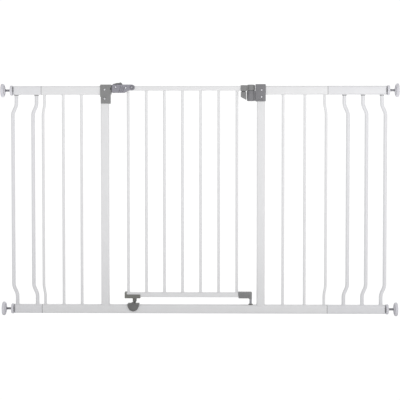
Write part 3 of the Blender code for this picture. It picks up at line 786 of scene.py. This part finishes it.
def make_bottom_lock():
    low, high = span("bottom_lock_bracket")
    low.z = 58.0
    rail_end = -238.0
    outline = rounded([(low.x, low.z, 1.5), (high.x, low.z, 1.5), (high.x, 70.2, 1.5),
                       (rail_end, 70.2, 0.5), (rail_end, high.z, 1.5), (low.x, high.z, 1.5)])
    channel = soften(plate(outline, low.y, high.y), 0.9, 2)
    stem = turned([(1.6, 43.5), (3.2, 44.0), (5.4, 46.0), (6.5, 48.6), (6.5, 55.0), (7.6, 57.4),
                   (7.6, 60.0)], (LOCK_X, 0, 0))
    bracket = combine(channel, [stem], "UNION")
    bracket = combine(bracket, [block((rail_end, -DOOR_RAIL_ROOM, 61.1), (-180, DOOR_RAIL_ROOM, 90))])
    fit(bracket, "bottom_lock_bracket_moulding", "bottom_lock_bracket", OLIVE_PLASTIC)

    low, high = span("bottom_catch")
    shield = rounded([(low.x, 40.0, 1.2), (low.x + 0.8, 31.0, 6.0), (-228.5, 20.0, 8.0),
                      (-216.0, low.z, 9.0), (-203.5, 20.0, 8.0), (high.x - 0.8, 31.0, 6.0),
                      (high.x, 40.0, 1.2), (-208.5, 40.0, 2.0), (-210.5, 42.9, 1.0),
                      (-221.5, 42.9, 1.0), (-223.5, 40.0, 2.0)])
    body = soften(plate(shield, low.y, high.y), 1.0, 3)
    rail_room = block((-250, -11.1, -5), (-180, 11.1, 36.6))
    groove = combine(plate(shrunk(shield, 0.74, 0.66), -16.0, -14.2),
                     [plate(shrunk(shield, 0.66, 0.56), -17.0, -13.0)])
    mark = plate([(-219.6, 21.8), (-212.4, 21.8), (-216.0, 17.2)], -16.0, -14.0)
    body = combine(body, [rail_room, groove, mark])
    fit(body, "bottom_catch_moulding", "bottom_catch", CATCH_PLASTIC)


# --- light, floor and camera, in metres ---------------------------------------------------------
FLOOR_DROP = 0.001
SEEN_WHITE = 1.05            # strength at which the camera sees the backdrop and the floor


def area_light(name, place, target, size, power):
    bpy.ops.object.light_add(type="AREA", location=place)
    light = bpy.context.object
    light.name = name
    light.data.shape = "RECTANGLE"
    light.data.size, light.data.size_y = size
    light.data.energy = power
    light.rotation_euler = (Vector(target) - Vector(place)).to_track_quat("-Z", "Y").to_euler()


def seen_as(tree, lit, seen):
    """A shader that lights the gate as lit does and that the camera sees as seen."""
    rays = tree.nodes.new("ShaderNodeLightPath")
    mix = tree.nodes.new("ShaderNodeMixShader")
    tree.links.new(rays.outputs["Is Camera Ray"], mix.inputs["Fac"])
    tree.links.new(lit, mix.inputs[1])
    tree.links.new(seen, mix.inputs[2])
    return mix.outputs["Shader"]


def distance(tree, kind, axis):
    """How far along an axis a place is, either way."""
    place = tree.nodes.new("ShaderNodeTexCoord")
    parts = tree.nodes.new("ShaderNodeSeparateXYZ")
    tree.links.new(place.outputs[kind], parts.inputs["Vector"])
    away = tree.nodes.new("ShaderNodeMath")
    away.operation = "ABSOLUTE"
    tree.links.new(parts.outputs[axis], away.inputs[0])
    return away.outputs["Value"]


def make_world():
    """Plain white behind the gate. The light that it gives is white at eye level, and dimmer from
    below, from above and from the gate's two ends."""
    world = bpy.data.worlds.new("pale_studio")
    bpy.context.scene.world = world
    world.use_nodes = True
    tree = world.node_tree
    nodes, links = tree.nodes, tree.links
    nodes.clear()
    place = nodes.new("ShaderNodeTexCoord")
    parts = nodes.new("ShaderNodeSeparateXYZ")
    links.new(place.outputs["Generated"], parts.inputs["Vector"])
    ramp = nodes.new("ShaderNodeValToRGB")
    below, level = ramp.color_ramp.elements
    below.position, below.color = 0.3, (0.45, 0.45, 0.46, 1)
    level.position, level.color = 0.5, (0.92, 0.92, 0.92, 1)
    ramp.color_ramp.elements.new(0.9).color = (0.72, 0.72, 0.73, 1)
    links.new(ranged(tree, parts.outputs["Z"], (-1, 1), (0, 1)), ramp.inputs["Fac"])
    room = nodes.new("ShaderNodeBackground")
    links.new(ramp.outputs["Color"], room.inputs["Color"])
    strength = ranged(tree, distance(tree, "Generated", "X"), (0.45, 0.95), (1.06, 0.6))
    links.new(strength, room.inputs["Strength"])
    backdrop = nodes.new("ShaderNodeBackground")
    backdrop.inputs["Color"].default_value = (1, 1, 1, 1)
    backdrop.inputs["Strength"].default_value = SEEN_WHITE
    output = nodes.new("ShaderNodeOutputWorld")
    mixed = seen_as(tree, room.outputs["Background"], backdrop.outputs["Background"])
    links.new(mixed, output.inputs["Surface"])


def make_floor():
    """A pale floor that throws a little light up, more so away from the gate. The camera sees it as the
    same white as the backdrop."""
    bpy.ops.mesh.primitive_plane_add(size=30, location=(0, 0, -FLOOR_DROP))
    floor = bpy.context.object
    floor.name = "studio_floor"
    material = bpy.data.materials.new("pale_floor")
    material.use_nodes = True
    tree = material.node_tree
    nodes, links = tree.nodes, tree.links
    shader = nodes["Principled BSDF"]
    shader.inputs["Roughness"].default_value = 0.9
    away = distance(tree, "Object", "Y")
    links.new(ranged(tree, away, (0.15, 0.9), (0.82, 0.85)), shader.inputs["Base Color"])
    shader.inputs["Emission Color"].default_value = (1, 1, 1, 1)
    links.new(ranged(tree, away, (0.3, 1.2), (0.12, 0.6)), shader.inputs["Emission Strength"])
    glow = nodes.new("ShaderNodeEmission")
    glow.inputs["Strength"].default_value = SEEN_WHITE
    mixed = seen_as(tree, shader.outputs["BSDF"], glow.outputs["Emission"])
    links.new(mixed, nodes["Material Output"].inputs["Surface"])
    floor.data.materials.append(material)


def make_camera():
    place = Vector((0.0556, -3.2, 0.557))
    target = Vector((0.002, 0, 0.4508))
    bpy.ops.object.camera_add(location=place)
    camera = bpy.context.object
    camera.name = "view_camera"
    camera.rotation_euler = (target - place).to_track_quat("-Z", "Y").to_euler()
    camera.data.lens = 88.4
    camera.data.sensor_width = 36.0
    camera.data.shift_y = -0.0548
    camera.data.dof.use_dof = False
    bpy.context.scene.camera = camera


def make_studio():
    make_world()
    make_floor()
    area_light("key_light", (1.5, -2.0, 0.6), (0.3, 0, 0.1), (1.6, 0.8), 7)
    area_light("back_light", (0, 2.4, 2.0), (0, 0, 0.4), (3.0, 1.5), 8)
    bpy.context.scene.view_settings.view_transform = "Standard"
    make_camera()


bpy.ops.object.select_all(action="DESELECT")
make_rails()
make_posts()
make_bars()
make_wall_units()
screw_places = make_screws()
make_keeper(screw_places["keeper_bracket"])
make_latch(screw_places["latch_housing"])
make_hinge(screw_places["hinge_bracket"])
make_bottom_hinge()
make_bottom_lock()
make_studio()
